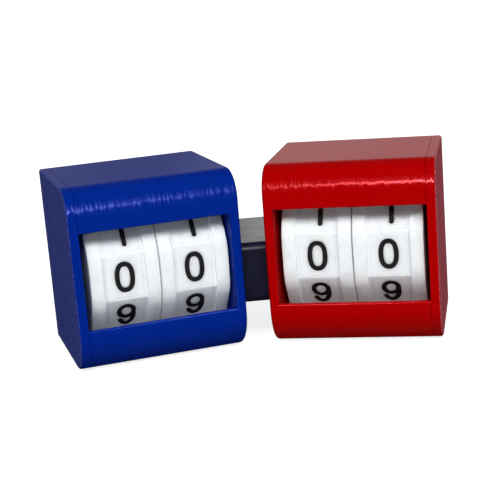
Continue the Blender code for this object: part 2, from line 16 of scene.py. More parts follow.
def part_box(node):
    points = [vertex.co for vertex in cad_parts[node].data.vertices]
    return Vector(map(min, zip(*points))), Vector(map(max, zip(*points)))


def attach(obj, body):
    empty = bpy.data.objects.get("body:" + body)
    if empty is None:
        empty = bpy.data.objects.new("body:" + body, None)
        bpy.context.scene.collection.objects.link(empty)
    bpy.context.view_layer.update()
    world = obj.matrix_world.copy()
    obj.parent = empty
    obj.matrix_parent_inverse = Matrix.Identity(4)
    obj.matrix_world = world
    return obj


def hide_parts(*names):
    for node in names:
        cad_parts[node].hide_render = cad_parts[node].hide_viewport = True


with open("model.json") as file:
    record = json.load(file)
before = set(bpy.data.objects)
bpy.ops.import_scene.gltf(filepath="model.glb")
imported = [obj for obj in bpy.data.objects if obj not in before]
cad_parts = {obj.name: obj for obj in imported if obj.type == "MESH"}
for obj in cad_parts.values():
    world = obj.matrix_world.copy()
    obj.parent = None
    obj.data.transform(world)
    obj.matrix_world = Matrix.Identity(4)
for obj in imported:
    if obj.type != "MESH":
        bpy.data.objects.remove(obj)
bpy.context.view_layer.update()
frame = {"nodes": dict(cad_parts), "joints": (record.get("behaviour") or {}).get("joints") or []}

# The two housings
#
# A housing is one printed piece of silky PLA: top, front, foot, back and the end wall next to the other
# box. It is printed standing on that end wall, so its layer lines run round it, across the axle. The side
# towards the cover is open, and the window runs from the end wall to it.

MM = 0.001
HALF_TURN = math.pi
CLOSE = 0.01 * MM
WALL = 2.2 * MM
END_WALL = 3.5 * MM
WINDOW_BOTTOM = -16.25 * MM
WINDOW_TOP = 17.75 * MM
CAVITY_RADIUS = 0.6 * MM
SIDE_ROUNDING = 1.0 * MM
SIDE_STEPS = 5
LIP_ROUNDING = 0.6 * MM
LIP_STEPS = 3
SEAM_ROUNDING = 0.08 * MM
SEAM_STEPS = 2
SEAM = 0.1 * MM
POST_RADIUS = 3.5 * MM
POST_LENGTH = 10.0 * MM
POST_INSET = 3.0 * MM
PEG_RADIUS = 1.8 * MM
PEG_LENGTH = 6.5 * MM
BOSS_RADIUS = 7.0 * MM
BOSS_HEIGHT = 0.4 * MM
AXLE_RADIUS = 4.0 * MM
SOCKET_DEPTH = 2.0 * MM
SEAT_GAP = 0.3 * MM
STRIP_LENGTH = 40.0 * MM
LEDGE_DEPTH = 3.0 * MM
LEDGE_HEIGHT = 2.0 * MM
SCREW_RADIUS = 1.5 * MM
HEAD_RADIUS = 3.0 * MM
HEAD_HEIGHT = 1.7 * MM
HEAD_RIM = 0.3 * MM
OVERRUN = 1.0 * MM
ROUND_SIDES = 48
FLAT_ANGLE = math.radians(0.5)
SHARP_ANGLE = math.radians(30)

# The corners of a box from the front foot round to the top front: which way each lies, back and up, its
# radius and the steps that divide it
CASE_CORNERS = [
    (-1, -1, 14.5 * MM, 24),
    (1, -1, 1.2 * MM, 6),
    (1, 1, 1.2 * MM, 6),
    (-1, 1, 10.0 * MM, 20),
]


def box_frame(box):
    """The frame of the box, from the axis that its drums turn about."""
    joint = next(j for j in frame["joints"] if j["name"] == box + "_tens_turn")
    along = Vector(joint["axis"]).normalized()
    up = Vector((0, 0, 1))
    turn = Matrix((along, up.cross(along), up)).transposed()
    return Matrix.Translation(joint["pos_m"]) @ turn.to_4x4()


def span(node, place):
    """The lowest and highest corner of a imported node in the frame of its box."""
    to_box = place.inverted()
    points = [to_box @ vert.co for vert in frame["nodes"][node].data.vertices]
    low = Vector(min(point[axis] for point in points) for axis in range(3))
    high = Vector(max(point[axis] for point in points) for axis in range(3))
    return low, high


# Which way the other box lies, along x
INWARD = {"left": 1, "right": -1}
places = {box: box_frame(box) for box in INWARD}
_, case_high = span("left_housing", places["left"])
HALF_DEPTH = case_high.y
HALF_HEIGHT = case_high.z
link_low, link_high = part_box("link")
SCREW_HEIGHT = (link_low.z + link_high.z) / 2 - HALF_HEIGHT
SCREW_REACH = BOSS_RADIUS + HEAD_RADIUS + SEAT_GAP


def arc(middle, radius, start, end, steps):
    turns = [start + (end - start) * step / steps for step in range(steps + 1)]
    return [(middle[0] + radius * math.cos(t), middle[1] + radius * math.sin(t)) for t in turns]


def circle(middle, radius, sides=ROUND_SIDES):
    return arc(middle, radius, 0, 2 * HALF_TURN, sides)[:-1]


def case_outline(inset):
    """The side view of a box, (y, z) about its axle, drawn in by the inset."""
    points = []
    for quarter, (back, up, radius, steps) in enumerate(CASE_CORNERS):
        rounding = max(radius - inset, CAVITY_RADIUS if inset > SIDE_ROUNDING else 0)
        middle = (back * (HALF_DEPTH - inset - rounding), up * (HALF_HEIGHT - inset - rounding))
        start = HALF_TURN + quarter * HALF_TURN / 2
        points += arc(middle, rounding, start, start + HALF_TURN / 2, steps)
    return points


def depth_inside(point):
    """How far a point lies inside the outline of its box."""
    for back, up, radius, _ in CASE_CORNERS:
        across = back * point.y - (HALF_DEPTH - radius)
        above = up * point.z - (HALF_HEIGHT - radius)
        if across > 0 and above > 0:
            return radius - math.hypot(across, above)
    return min(HALF_DEPTH - abs(point.y), HALF_HEIGHT - abs(point.z))


def post_places():
    """The middles of the four posts, on the diagonals of the corners, an inset in from the wall."""
    middles = []
    for back, up, radius, _ in CASE_CORNERS:
        reach = (radius - WALL - POST_INSET) / math.sqrt(2)
        middles.append((back * (HALF_DEPTH - radius + reach), up * (HALF_HEIGHT - radius + reach)))
    return middles


def lofted(*stations):
    """A closed solid through outlines in (y, z) at stations along x, each a pair of x and outline."""
    work = bmesh.new()
    rings = [[work.verts.new((x, y, z)) for y, z in outline] for x, outline in stations]
    for before, after in zip(rings, rings[1:]):
        for index, vert in enumerate(before):
            work.faces.new((before[index - 1], vert, after[index], after[index - 1]))
    work.faces.new(rings[0])
    work.faces.new(rings[-1])
    bmesh.ops.recalc_face_normals(work, faces=work.faces)
    return work


def rod(start, end, middle, radius, sides=ROUND_SIDES):
    outline = circle(middle, radius, sides)
    return lofted((start, outline), (end, outline))


def raised(work, faces, shift):
    """Extrudes faces along x and returns the moved copies."""
    grown = bmesh.ops.extrude_face_region(work, geom=faces)["geom"]
    verts = [item for item in grown if isinstance(item, bmesh.types.BMVert)]
    bmesh.ops.translate(work, vec=(shift, 0, 0), verts=verts)
    return [item for item in grown if isinstance(item, bmesh.types.BMFace)]


def round_edges(work, chosen, radius, steps):
    """Rounds the edges whose two end points pass the test."""
    edges = [edge for edge in work.edges if chosen(*(vert.co for vert in edge.verts))]
    bmesh.ops.bevel(work, geom=edges, offset=radius, segments=steps, profile=0.5, affect="EDGES")


def piece_from(work, name, place):
    """A new object with the bmesh, in the frame of its box."""
    bmesh.ops.recalc_face_normals(work, faces=work.faces)
    mesh = bpy.data.meshes.new(name)
    work.to_mesh(mesh)
    work.free()
    piece = bpy.data.objects.new(name, mesh)
    bpy.context.scene.collection.objects.link(piece)
    piece.matrix_world = place
    return piece


def reshape(piece, operation, *works):
    """Adds solids to the piece, or cuts them from it. They are in the piece's own frame."""
    for work in works:
        tool = piece_from(work, "tool", piece.matrix_world)
        change = piece.modifiers.new("change", "BOOLEAN")
        change.operation = operation
        change.solver = "EXACT"
        change.object = tool
        graph = bpy.context.evaluated_depsgraph_get()
        mesh = bpy.data.meshes.new_from_object(piece.evaluated_get(graph))
        piece.modifiers.clear()
        before, piece.data = piece.data, mesh
        for spent in (before, tool.data):
            bpy.data.meshes.remove(spent)


def smooth(piece):
    """Smooth round faces, true flat ones and sharp edges."""
    piece.data.shade_smooth()
    piece.data.set_sharp_from_angle(angle=SHARP_ANGLE)
    normals = piece.modifiers.new("flat faces stay flat", "WEIGHTED_NORMAL")
    normals.keep_sharp = True


def axle_socket(end, wall_x):
    """The blind hole at one end of the axle, through the boss and into the wall that starts at wall_x."""
    floor_x = wall_x + end * SOCKET_DEPTH
    return rod(floor_x, wall_x - end * (BOSS_HEIGHT + OVERRUN), (0, 0), AXLE_RADIUS + SEAT_GAP)


def housing_piece(box):
    inward = INWARD[box]
    low, high = span(box + "_housing", places[box])
    end_x, open_x = (high.x, low.x) if inward > 0 else (low.x, high.x)
    room_x = end_x - inward * END_WALL

    def cut_by_window(inset):
        front = inset - HALF_DEPTH
        return [(front, WINDOW_BOTTOM), *case_outline(inset), (front, WINDOW_TOP)]

    work = bmesh.new()
    outer = [work.verts.new((room_x, y, z)) for y, z in cut_by_window(0)]
    inner = [work.verts.new((room_x, y, z)) for y, z in cut_by_window(WALL)]
    shell = work.faces.new(outer + inner[::-1])
    end = work.faces.new([*inner, outer[-1], outer[0]])
    raised(work, [shell, end], end_x - room_x)
    raised(work, [shell], open_x - room_x)
    work.faces.remove(shell)
    bmesh.ops.dissolve_limit(work, angle_limit=FLAT_ANGLE, verts=work.verts, edges=work.edges)
    bmesh.ops.recalc_face_normals(work, faces=work.faces)

    def round_the_end(first, second):
        return max(abs(first.x - end_x), abs(second.x - end_x)) < CLOSE

    def along_the_lips(first, second):
        if abs(first.x - second.x) < CLOSE:
            at_the_front = max(first.y, second.y) < CLOSE - HALF_DEPTH
            at_the_wall = abs(first.x - room_x) < CLOSE
            return at_the_front and at_the_wall and abs(first.z - second.z) > CLOSE
        ends = (WINDOW_BOTTOM, WINDOW_TOP)
        return any(max(abs(first.z - z), abs(second.z - z)) < CLOSE for z in ends)

    def at_the_seam(first, second):
        at_the_opening = max(abs(first.x - open_x), abs(second.x - open_x)) < CLOSE
        return at_the_opening and max(depth_inside(first), depth_inside(second)) < WALL / 2

    round_edges(work, round_the_end, SIDE_ROUNDING, SIDE_STEPS)
    round_edges(work, along_the_lips, LIP_ROUNDING, LIP_STEPS)
    round_edges(work, at_the_seam, SEAM_ROUNDING, SEAM_STEPS)
    piece = piece_from(work, box + "_housing_print", places[box])

    post_end = open_x + inward * POST_LENGTH
    posts = [rod(open_x, post_end, middle, POST_RADIUS) for middle in post_places()]
    boss = rod(room_x + inward * OVERRUN, room_x - inward * BOSS_HEIGHT, (0, 0), BOSS_RADIUS)
    ledges = []
    for up in (-1, 1):
        near, far = STRIP_LENGTH / 2 + SEAT_GAP, STRIP_LENGTH / 2 + SEAT_GAP + LEDGE_HEIGHT
        front, back = HALF_DEPTH - WALL - LEDGE_DEPTH, HALF_DEPTH - WALL / 2
        outline = [(front, up * near), (back, up * near), (back, up * far), (front, up * far)]
        ledges.append(lofted((room_x + inward * OVERRUN, outline), (open_x, outline)))
    reshape(piece, "UNION", boss, *posts, *ledges)

    hole_end = open_x + inward * (PEG_LENGTH + SEAT_GAP)
    hole_start = open_x - inward * OVERRUN
    holes = [rod(hole_start, hole_end, middle, PEG_RADIUS + SEAT_GAP) for middle in post_places()]
    for end in (-1, 1):
        middle = (end * SCREW_REACH, SCREW_HEIGHT)
        head = circle(middle, HEAD_RADIUS + SEAT_GAP)
        shank = circle(middle, SCREW_RADIUS + SEAT_GAP)
        holes.append(
            lofted(
                (room_x - inward * OVERRUN, head),
                (room_x + inward * (HEAD_RIM + SEAT_GAP), head),
                (room_x + inward * (HEAD_HEIGHT + SEAT_GAP), shank),
                (end_x + inward * OVERRUN, shank),
            )
        )
    reshape(piece, "DIFFERENCE", axle_socket(inward, room_x), *holes)
    smooth(piece)
    return piece


def linear(code):
    """The linear colour, with alpha, of an sRGB hex code."""
    shares = [int(code[start : start + 2], 16) / 255 for start in (1, 3, 5)]
    return (*(s / 12.92 if s <= 0.04045 else ((s + 0.055) / 1.055) ** 2.4 for s in shares), 1)


def add(tree, kind, settings=None, links=None):
    """A node with its settings, by property or by socket, and the sockets that feed it."""
    node = tree.nodes.new("ShaderNode" + kind)
    for key, value in (settings or {}).items():
        if isinstance(key, str) and key in node.bl_rna.properties:
            setattr(node, key, value)
        else:
            node.inputs[key].default_value = value
    for key, socket in (links or {}).items():
        tree.links.new(socket, node.inputs[key])
    return node


def new_finish(name, **constants):
    """A material of one Principled shader with the constants on its sockets, and its tree and shader."""
    material = bpy.data.materials.new(name)
    material.use_nodes = True
    tree = material.node_tree
    shader = tree.nodes["Principled BSDF"]
    for socket, value in constants.items():
        shader.inputs[socket.replace("_", " ")].default_value = value
    return material, tree, shader


def pattern_place(tree, source, sizes):
    """Coordinates in which a pattern of size 1 takes the sizes given for x, y and z."""
    scale = tuple(1 / size for size in sizes)
    coords = add(tree, "TexCoord").outputs[source]
    return add(tree, "Mapping", {"Scale": scale}, {"Vector": coords}).outputs[0]


PLA_IOR = 1.46
# Across the layers and along them. Real layers are 0.2 mm. They are drawn 0.7 mm wide, which is two pixels
# of the photo, so that they show. The drift takes in a dozen real layers.
LAYER = (0.7 * MM, 9 * MM, 9 * MM)
LAYER_DRIFT = (2.5 * MM, 60 * MM, 60 * MM)
LAYER_RIDGE = (0.5 * MM, 2 * MM, 2 * MM)
RIDGE_HEIGHT = 0.004 * MM
# How far up the front looks where it turns most
TURN_MIDDLE = 0.38


def silky_pla(name, colour, shade, sheen, lean, dull):
    """Silky PLA filament, printed in layers that run round the box.

    The filament's sheen has its own colour and spreads along the axle, across the layers, so a lamp shows
    as one band along the top front. The straight walls are even. Where the front turns, the nozzle slows
    and the layers come out uneven, so the band is a row of short ragged strokes there: they lean by up to
    the given lean, and some are as rough as dull.
    """
    material, tree, shader = new_finish(
        name, IOR=PLA_IOR, Anisotropic=0.8, Specular_Tint=linear(sheen)
    )
    layers = pattern_place(tree, "Object", LAYER)
    uneven = add(tree, "TexNoise", {"Scale": 1, "Detail": 1, "Roughness": 0.5}, {"Vector": layers})

    # What faces up is glossy. What faces forward or down hardly shines in the photo.
    _, back, up = add(tree, "SeparateXYZ", links={0: add(tree, "TexCoord").outputs["Normal"]}).outputs
    gloss = add(
        tree,
        "MapRange",
        {"From Min": 0.05, "From Max": 0.3, "To Min": 0.08, "To Max": 0.3},
        {"Value": up},
    )

    apart = add(tree, "Math", {"operation": "SUBTRACT", 1: TURN_MIDDLE}, {0: up})
    apart = add(tree, "Math", {"operation": "ABSOLUTE"}, {0: apart.outputs[0]})
    turned = add(tree, "MapRange", {"From Min": 0.3, "From Max": 0.12}, {"Value": apart.outputs[0]})
    in_front = add(tree, "Math", {"operation": "LESS_THAN", 1: 0}, {0: back})
    turned = add(
        tree, "Math", {"operation": "MULTIPLY"}, {0: turned.outputs[0], 1: in_front.outputs[0]}
    )
    ragged = add(
        tree,
        "MapRange",
        {"From Min": 0.46, "From Max": 0.54, "To Min": 0.12, "To Max": dull},
        {"Value": uneven.outputs[0]},
    )
    rough = add(
        tree,
        "Mix",
        {"data_type": "FLOAT", 2: 0.36},
        {0: turned.outputs[0], 3: ragged.outputs[0]},
    )
    tree.links.new(rough.outputs[0], shader.inputs["Roughness"])
    gloss = add(
        tree,
        "Mix",
        {"data_type": "FLOAT", 3: 1},
        {0: turned.outputs[0], 2: gloss.outputs[0]},
    )
    tree.links.new(gloss.outputs[0], shader.inputs["Specular IOR Level"])

    # About a dozen layers at a time are a shade darker, where the nozzle laid a little less
    drift = pattern_place(tree, "Object", LAYER_DRIFT)
    drift_noise = add(tree, "TexNoise", {"Scale": 1, "Detail": 3}, {"Vector": drift})
    tint = add(
        tree,
        "Mix",
        {"data_type": "RGBA", 6: linear(colour), 7: linear(shade)},
        {0: drift_noise.outputs[0]},
    )
    tree.links.new(tint.outputs[2], shader.inputs["Base Color"])

    # The spread of the sheen follows the axle
    axle = add(
        tree,
        "VectorTransform",
        {"vector_type": "VECTOR", "convert_from": "OBJECT", "convert_to": "WORLD", "Vector": (1, 0, 0)},
    )
    tree.links.new(axle.outputs[0], shader.inputs["Tangent"])

    # Where the front turns, each layer also leans a little up or down from the true surface
    normal = add(tree, "NewGeometry").outputs["Normal"]
    around = add(
        tree, "VectorMath", {"operation": "CROSS_PRODUCT"}, {0: axle.outputs[0], 1: normal}
    )
    leans = add(
        tree,
        "TexNoise",
        {"Scale": 1, "Detail": 1, "noise_dimensions": "4D", "W": 7},
        {"Vector": layers},
    )
    turn = add(
        tree,
        "MapRange",
        {"From Min": 0.3, "From Max": 0.7, "To Min": -lean, "To Max": lean},
        {"Value": leans.outputs[0]},
    )
    turn = add(tree, "Math", {"operation": "MULTIPLY"}, {0: turn.outputs[0], 1: turned.outputs[0]})
    leaning = add(
        tree,
        "VectorMath",
        {"operation": "MULTIPLY_ADD"},
        {0: around.outputs[0], 1: turn.outputs[0], 2: normal},
    )
    fine = pattern_place(tree, "Object", LAYER_RIDGE)
    ridges = add(tree, "TexNoise", {"Scale": 1, "Detail": 1}, {"Vector": fine})
    ridged = add(
        tree,
        "Bump",
        {"Strength": 1, "Distance": RIDGE_HEIGHT},
        {"Height": ridges.outputs[0], "Normal": leaning.outputs[0]},
    )
    tree.links.new(ridged.outputs[0], shader.inputs["Normal"])
    return material


case_finishes = {
    "left": silky_pla("blue silky PLA, printed in layers", "#012688", "#012282", "#8490ff", 0.065, 0.32),
    "right": silky_pla("red silky PLA, printed in layers", "#a60002", "#a40001", "#f0626a", 0.06, 0.26),
}

for box in INWARD:
    piece = housing_piece(box)
    piece.data.materials.append(case_finishes[box])
    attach(piece, "casing")
    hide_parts(box + "_housing")

# The two side covers
#
# A cover is a flat printed plate of the same PLA, with four pegs that press into the housing's posts and a
# boss for the axle. It is printed on its outer face, on a grained steel bed that leaves its grain there.

# A bed's grain is about 0.15 mm. It is drawn 0.6 mm coarse, nearly two pixels of the photo, so that it
# shows.
GRAIN = 0.6 * MM
GRAIN_HEIGHT = 0.3 * MM


def rounding(radius, steps):
    """A quarter round as pairs: how far from the face, and how far drawn in, from the face to the side."""
    turns = [HALF_TURN / 2 * step / steps for step in range(steps + 1)]
    return [(radius * (1 - math.cos(t)), radius * (1 - math.sin(t))) for t in turns]


def cover_piece(box):
    inward = INWARD[box]
    housing_low, housing_high = span(box + "_housing", places[box])
    low, high = span(box + "_side_cover", places[box])
    outer_x = low.x if inward > 0 else high.x
    open_x = housing_low.x if inward > 0 else housing_high.x
    inner_x = open_x - inward * SEAM
    stations = []
    for along, inset in rounding(SIDE_ROUNDING, SIDE_STEPS):
        stations.append((outer_x + inward * along, case_outline(inset)))
    for along, inset in reversed(rounding(SEAM_ROUNDING, SEAM_STEPS)):
        stations.append((inner_x - inward * along, case_outline(inset)))
    piece = piece_from(lofted(*stations), box + "_side_cover_print", places[box])

    peg_end = inner_x + inward * PEG_LENGTH
    taper = PEG_RADIUS / 5
    pegs = [
        lofted(
            (inner_x - inward * OVERRUN, circle(middle, PEG_RADIUS)),
            (peg_end - inward * taper, circle(middle, PEG_RADIUS)),
            (peg_end, circle(middle, PEG_RADIUS - taper)),
        )
        for middle in post_places()
    ]
    boss = rod(inner_x - inward * OVERRUN, inner_x + inward * BOSS_HEIGHT, (0, 0), BOSS_RADIUS)
    reshape(piece, "UNION", boss, *pegs)
    reshape(piece, "DIFFERENCE", axle_socket(-inward, inner_x))
    smooth(piece)
    return piece, outer_x


def grained_pla(name, colour, crest):
    """The outer face of a cover, moulded by the grain of the printing bed.

    Fine shallow grains break the reflection up, so the face looks duller than the layers do. The tops of
    the grains are painted pale, a painted glint for grains that face the light, in small pale specks. Seen
    at a low angle the specks' edges glow: that is the sheen.
    """
    material, tree, shader = new_finish(
        name, IOR=PLA_IOR, Sheen_Weight=0.24, Sheen_Roughness=0.4, Sheen_Tint=linear(crest)
    )
    place = pattern_place(tree, "Object", (GRAIN, GRAIN, GRAIN))
    grains = add(tree, "TexVoronoi", {"Scale": 1, "feature": "F1"}, {"Vector": place})
    clumps = add(tree, "TexNoise", {"Scale": 0.6, "Detail": 4, "Roughness": 0.7}, {"Vector": place})
    height = add(
        tree,
        "Math",
        {"operation": "MULTIPLY_ADD", 1: -0.6},
        {0: grains.outputs["Distance"], 2: clumps.outputs[0]},
    )
    rough = add(
        tree,
        "MapRange",
        {"From Min": -0.1, "From Max": 0.5, "To Min": 0.62, "To Max": 0.36},
        {"Value": height.outputs[0]},
    )
    # Painted highlight: the higher a grain, the paler its colour, as if it caught the light
    tint = add(
        tree,
        "MapRange",
        {"From Min": 0.15, "From Max": 0.45, "To Min": 0, "To Max": 1},
        {"Value": height.outputs[0]},
    )
    colour_with_painted_glints = add(
        tree,
        "Mix",
        {"data_type": "RGBA", 6: linear(colour), 7: linear(crest)},
        {0: tint.outputs[0]},
    )
    bump = add(
        tree, "Bump", {"Strength": 1, "Distance": GRAIN_HEIGHT}, {"Height": height.outputs[0]}
    )
    tree.links.new(rough.outputs[0], shader.inputs["Roughness"])
    tree.links.new(colour_with_painted_glints.outputs[2], shader.inputs["Base Color"])
    tree.links.new(bump.outputs[0], shader.inputs["Normal"])
    return material


# The second colour is the pale of the grain tops, a painted glint, and it also tints the sheen
grained_finishes = {
    "left": grained_pla("blue silky PLA, grained by the bed", "#13247a", "#4a5ab0"),
    "right": grained_pla("red silky PLA, grained by the bed", "#a02832", "#cc707a"),
}

for box in INWARD:
    piece, outer_x = cover_piece(box)
    piece.data.materials.append(case_finishes[box])
    piece.data.materials.append(grained_finishes[box])
    for face in piece.data.polygons:
        if abs(face.normal.x) > 0.5 and abs(face.center.x - outer_x) < SIDE_ROUNDING / 2:
            face.material_index = 1
    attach(piece, "casing")
    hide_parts(box + "_side_cover")

# The four number drums
#
# A drum is printed in white PLA and turns on the axle: ten flats with a rounder rim at each end, and between
# the rims a band 1 mm lower that carries the numerals. It is hollow, with a hub and a web at one end.

DRUM_SIDES = 10
FACET_TURN = 2 * HALF_TURN / DRUM_SIDES
DRUM_REACH = 26.45 * MM
RIM_RADIUS = 14.0 * MM
RIM_WIDTH = 4.8 * MM
RIM_EDGE = 0.35 * MM
RIM_EDGE_STEPS = 4
STEP_EDGE = 0.1 * MM
STEP_EDGE_STEPS = 2
BAND_DROP = 1.0 * MM
BAND_RADIUS = 1.6 * MM
DRUM_SHELL = 1.3 * MM
DRUM_WEB = 2.6 * MM
HUB_RADIUS = 9.0 * MM
RUN_GAP = 0.3 * MM
INLAY = 0.8 * MM
NUMERAL_HEIGHT = 10.8 * MM
NUMERAL_WIDTH = 7.0 * MM
STROKE = 1.65 * MM
POCKET_GAP = 0.02 * MM
PATCH_WELD = 0.005 * MM
PATCH_ANGLE = math.radians(1)
LOOP_STEPS = 48
CAP_STEPS = 8
DRUM_APOTHEM = RIM_RADIUS + (DRUM_REACH - RIM_RADIUS) * math.cos(FACET_TURN / 2)
BAND_APOTHEM = DRUM_APOTHEM - BAND_DROP


def drum_outline(apothem, radius, steps=8):
    """A regular ten-sided outline with round corners. One flat faces the front, at -y."""
    reach = (apothem - radius) / math.cos(FACET_TURN / 2)
    points = []
    for side in range(DRUM_SIDES):
        start = side * FACET_TURN
        corner = start + FACET_TURN / 2
        middle = (reach * math.cos(corner), reach * math.sin(corner))
        points += arc(middle, radius, start, start + FACET_TURN, steps)
    return points


def loop_stroke(middle, radii, squareness=2.0):
    """A closed stroke. Squareness 2 is an ellipse, and more fills out its corners."""
    points = []
    for step in range(LOOP_STEPS):
        turn = 2 * HALF_TURN * step / LOOP_STEPS
        across, up = math.cos(turn), math.sin(turn)
        points.append(
            (
                middle[0] + radii[0] * math.copysign(abs(across) ** (2 / squareness), across),
                middle[1] + radii[1] * math.copysign(abs(up) ** (2 / squareness), up),
            )
        )
    return points, True


def arc_stroke(middle, radii, start, end, *more):
    """An open stroke along an ellipse's arc, in degrees, and on through more points."""
    steps = max(2, round(abs(end - start) / 360 * LOOP_STEPS))
    round_one = arc((0, 0), 1, math.radians(start), math.radians(end), steps)
    points = [(middle[0] + radii[0] * x, middle[1] + radii[1] * y) for x, y in round_one]
    return points + list(more), False


def line_stroke(*points):
    return list(points), False


def numeral_strokes(digit):
    """The middle lines of the strokes. 1 and -1 are the edges of the numeral, across and up."""
    six_shares = [
        loop_stroke((0, -0.41), (0.96, 0.62)),
        arc_stroke((0, -0.02), (0.97, 1.02), 185, 35),
    ]
    stroke_shares = {
        0: [loop_stroke((0, 0), (1, 1), 2.4)],
        1: [line_stroke((0.5, -0.97), (0.5, 1)), line_stroke((0.5, 1), (-0.55, 0.56))],
        2: [
            arc_stroke((0, 0.42), (0.95, 0.58), 165, -30, (-0.95, -1)),
            line_stroke((-0.95, -1), (1, -1)),
        ],
        3: [
            arc_stroke((0, 0.52), (0.9, 0.48), 150, -90),
            arc_stroke((0, -0.48), (1, 0.52), 90, -150),
        ],
        4: [
            line_stroke((0.35, 1), (-1, -0.42)),
            line_stroke((-1, -0.42), (1, -0.42)),
            line_stroke((0.45, 0.25), (0.45, -1)),
        ],
        5: [
            line_stroke((0.85, 1), (-0.7, 1)),
            line_stroke((-0.7, 1), (-0.82, 0.06)),
            arc_stroke((0, -0.36), (1, 0.64), 139, -150),
        ],
        6: six_shares,
        7: [line_stroke((-1, 1), (1, 1)), line_stroke((1, 1), (-0.35, -1))],
        8: [loop_stroke((0, 0.52), (0.86, 0.48)), loop_stroke((0, -0.46), (1, 0.54))],
        9: [([(-x, -y) for x, y in points], closed) for points, closed in six_shares],
    }
    return stroke_shares[digit]


def stroke_patches(points, closed, width):
    """Convex patches that together cover a stroke of the given width."""
    path = [Vector(point) for point in points]
    count = len(path)
    sides = []
    for index, point in enumerate(path):
        before = path[index - 1] if closed or index > 0 else point
        after = path[(index + 1) % count] if closed or index < count - 1 else point
        along = (after - before).normalized()
        sides.append(Vector((-along.y, along.x)) * width / 2)
    patches = []
    for index in range(count if closed else count - 1):
        after = (index + 1) % count
        near, far, side, far_side = path[index], path[after], sides[index], sides[after]
        patches.append([near + side, near - side, far - far_side, far + far_side])
    if not closed:
        for end, turn in ((0, 1), (-1, -1)):
            steps = [Matrix.Rotation(turn * HALF_TURN * i / CAP_STEPS, 2) for i in range(CAP_STEPS + 1)]
            patches.append([path[end] + step @ sides[end] for step in steps])
    return patches


def covers(patch, point):
    """Whether a convex patch holds the point."""
    sides = [(after - before).cross(point - before) for before, after in zip(patch, patch[1:] + patch[:1])]
    return all(side >= 0 for side in sides) or all(side <= 0 for side in sides)


def numeral_solid(digit, width, thickness):
    """A flat numeral in the xy plane, from z = 0 to its thickness, with strokes of the given width."""
    half_across = (NUMERAL_WIDTH - STROKE) / 2
    half_up = (NUMERAL_HEIGHT - STROKE) / 2
    points, patches = [], []
    for stroke, closed in numeral_strokes(digit):
        placed = [(across * half_across, up * half_up) for across, up in stroke]
        for patch in stroke_patches(placed, closed, width):
            patches.append(list(range(len(points), len(points) + len(patch))))
            points += patch
    flat_points, _, flat_faces, _, _, _ = delaunay_2d_cdt(points, [], patches, 0, PATCH_WELD)
    work = bmesh.new()
    verts = [work.verts.new((*point, 0)) for point in flat_points]
    for face in flat_faces:
        middle = sum((flat_points[index] for index in face), Vector((0, 0))) / len(face)
        if any(covers([points[index] for index in patch], middle) for patch in patches):
            work.faces.new([verts[index] for index in face])
    loose = [vert for vert in work.verts if not vert.link_faces]
    bmesh.ops.delete(work, geom=loose, context="VERTS")
    bmesh.ops.remove_doubles(work, verts=work.verts, dist=PATCH_WELD)
    bmesh.ops.dissolve_degenerate(work, dist=PATCH_WELD, edges=work.edges)
    bmesh.ops.dissolve_limit(work, angle_limit=PATCH_ANGLE, verts=work.verts, edges=work.edges)
    grown = bmesh.ops.extrude_face_region(work, geom=work.faces[:])
    lifted = [item for item in grown["geom"] if isinstance(item, bmesh.types.BMVert)]
    bmesh.ops.translate(work, vec=(0, 0, thickness), verts=lifted)
    bmesh.ops.recalc_face_normals(work, faces=work.faces)
    return work


def facet_place(digit, height):
    """The frame of a numeral on its drum: z out from the axle, and y up the flat."""
    turn = Matrix.Rotation(HALF_TURN / 2 - digit * FACET_TURN, 4, "X")
    return turn @ Matrix.Translation((0, 0, height))


def drum_mesh(outer_end, width):
    """A drum about its own middle. Its closed end is at outer_end, -1 or 1 along x."""
    half, band_half = width / 2, width / 2 - RIM_WIDTH
    rim = []
    for along, inset in rounding(RIM_EDGE, RIM_EDGE_STEPS):
        rim.append((half - along, drum_outline(DRUM_APOTHEM - inset, RIM_RADIUS - inset)))
    for along, inset in reversed(rounding(STEP_EDGE, STEP_EDGE_STEPS)):
        rim.append((band_half + along, drum_outline(DRUM_APOTHEM - inset, RIM_RADIUS - inset)))
    rim.append((band_half, drum_outline(BAND_APOTHEM, BAND_RADIUS)))
    stations = [(-x, outline) for x, outline in rim] + rim[::-1]
    piece = piece_from(lofted(*stations), "drum", Matrix.Identity(4))

    inside = drum_outline(BAND_APOTHEM - INLAY - 2 * POCKET_GAP - DRUM_SHELL, BAND_RADIUS)
    web_x, open_x = outer_end * (half - DRUM_WEB), -outer_end * half
    hollow = lofted((web_x, inside), (open_x - outer_end * OVERRUN, inside))
    reshape(piece, "DIFFERENCE", hollow)
    reshape(piece, "UNION", rod(web_x + outer_end * OVERRUN, open_x, (0, 0), HUB_RADIUS))
    bore = rod(-half - OVERRUN, half + OVERRUN, (0, 0), AXLE_RADIUS + RUN_GAP)
    pockets = bmesh.new()
    for digit in range(DRUM_SIDES):
        pocket = numeral_solid(digit, STROKE + 2 * POCKET_GAP, INLAY + OVERRUN)
        pocket.transform(facet_place(digit, BAND_APOTHEM - INLAY - POCKET_GAP))
        mesh = bpy.data.meshes.new("pocket")
        pocket.to_mesh(mesh)
        pocket.free()
        pockets.from_mesh(mesh)
        bpy.data.meshes.remove(mesh)
    reshape(piece, "DIFFERENCE", bore, pockets)
    mesh = piece.data
    bpy.data.objects.remove(piece)
    return mesh


def lay_out_flats(mesh):
    """A UV map in metres on each flat: u along the axle and v up the flat, from its middle."""
    layer = mesh.uv_layers.new(name="flats")
    for face in mesh.polygons:
        middle = face.center
        side = round(math.atan2(middle.z, -middle.y) / FACET_TURN)
        turn = side * FACET_TURN
        for corner in face.loop_indices:
            point = mesh.vertices[mesh.loops[corner].vertex_index].co
            up = point.z * math.cos(turn) + point.y * math.sin(turn)
            layer.data[corner].uv = (point.x, up)


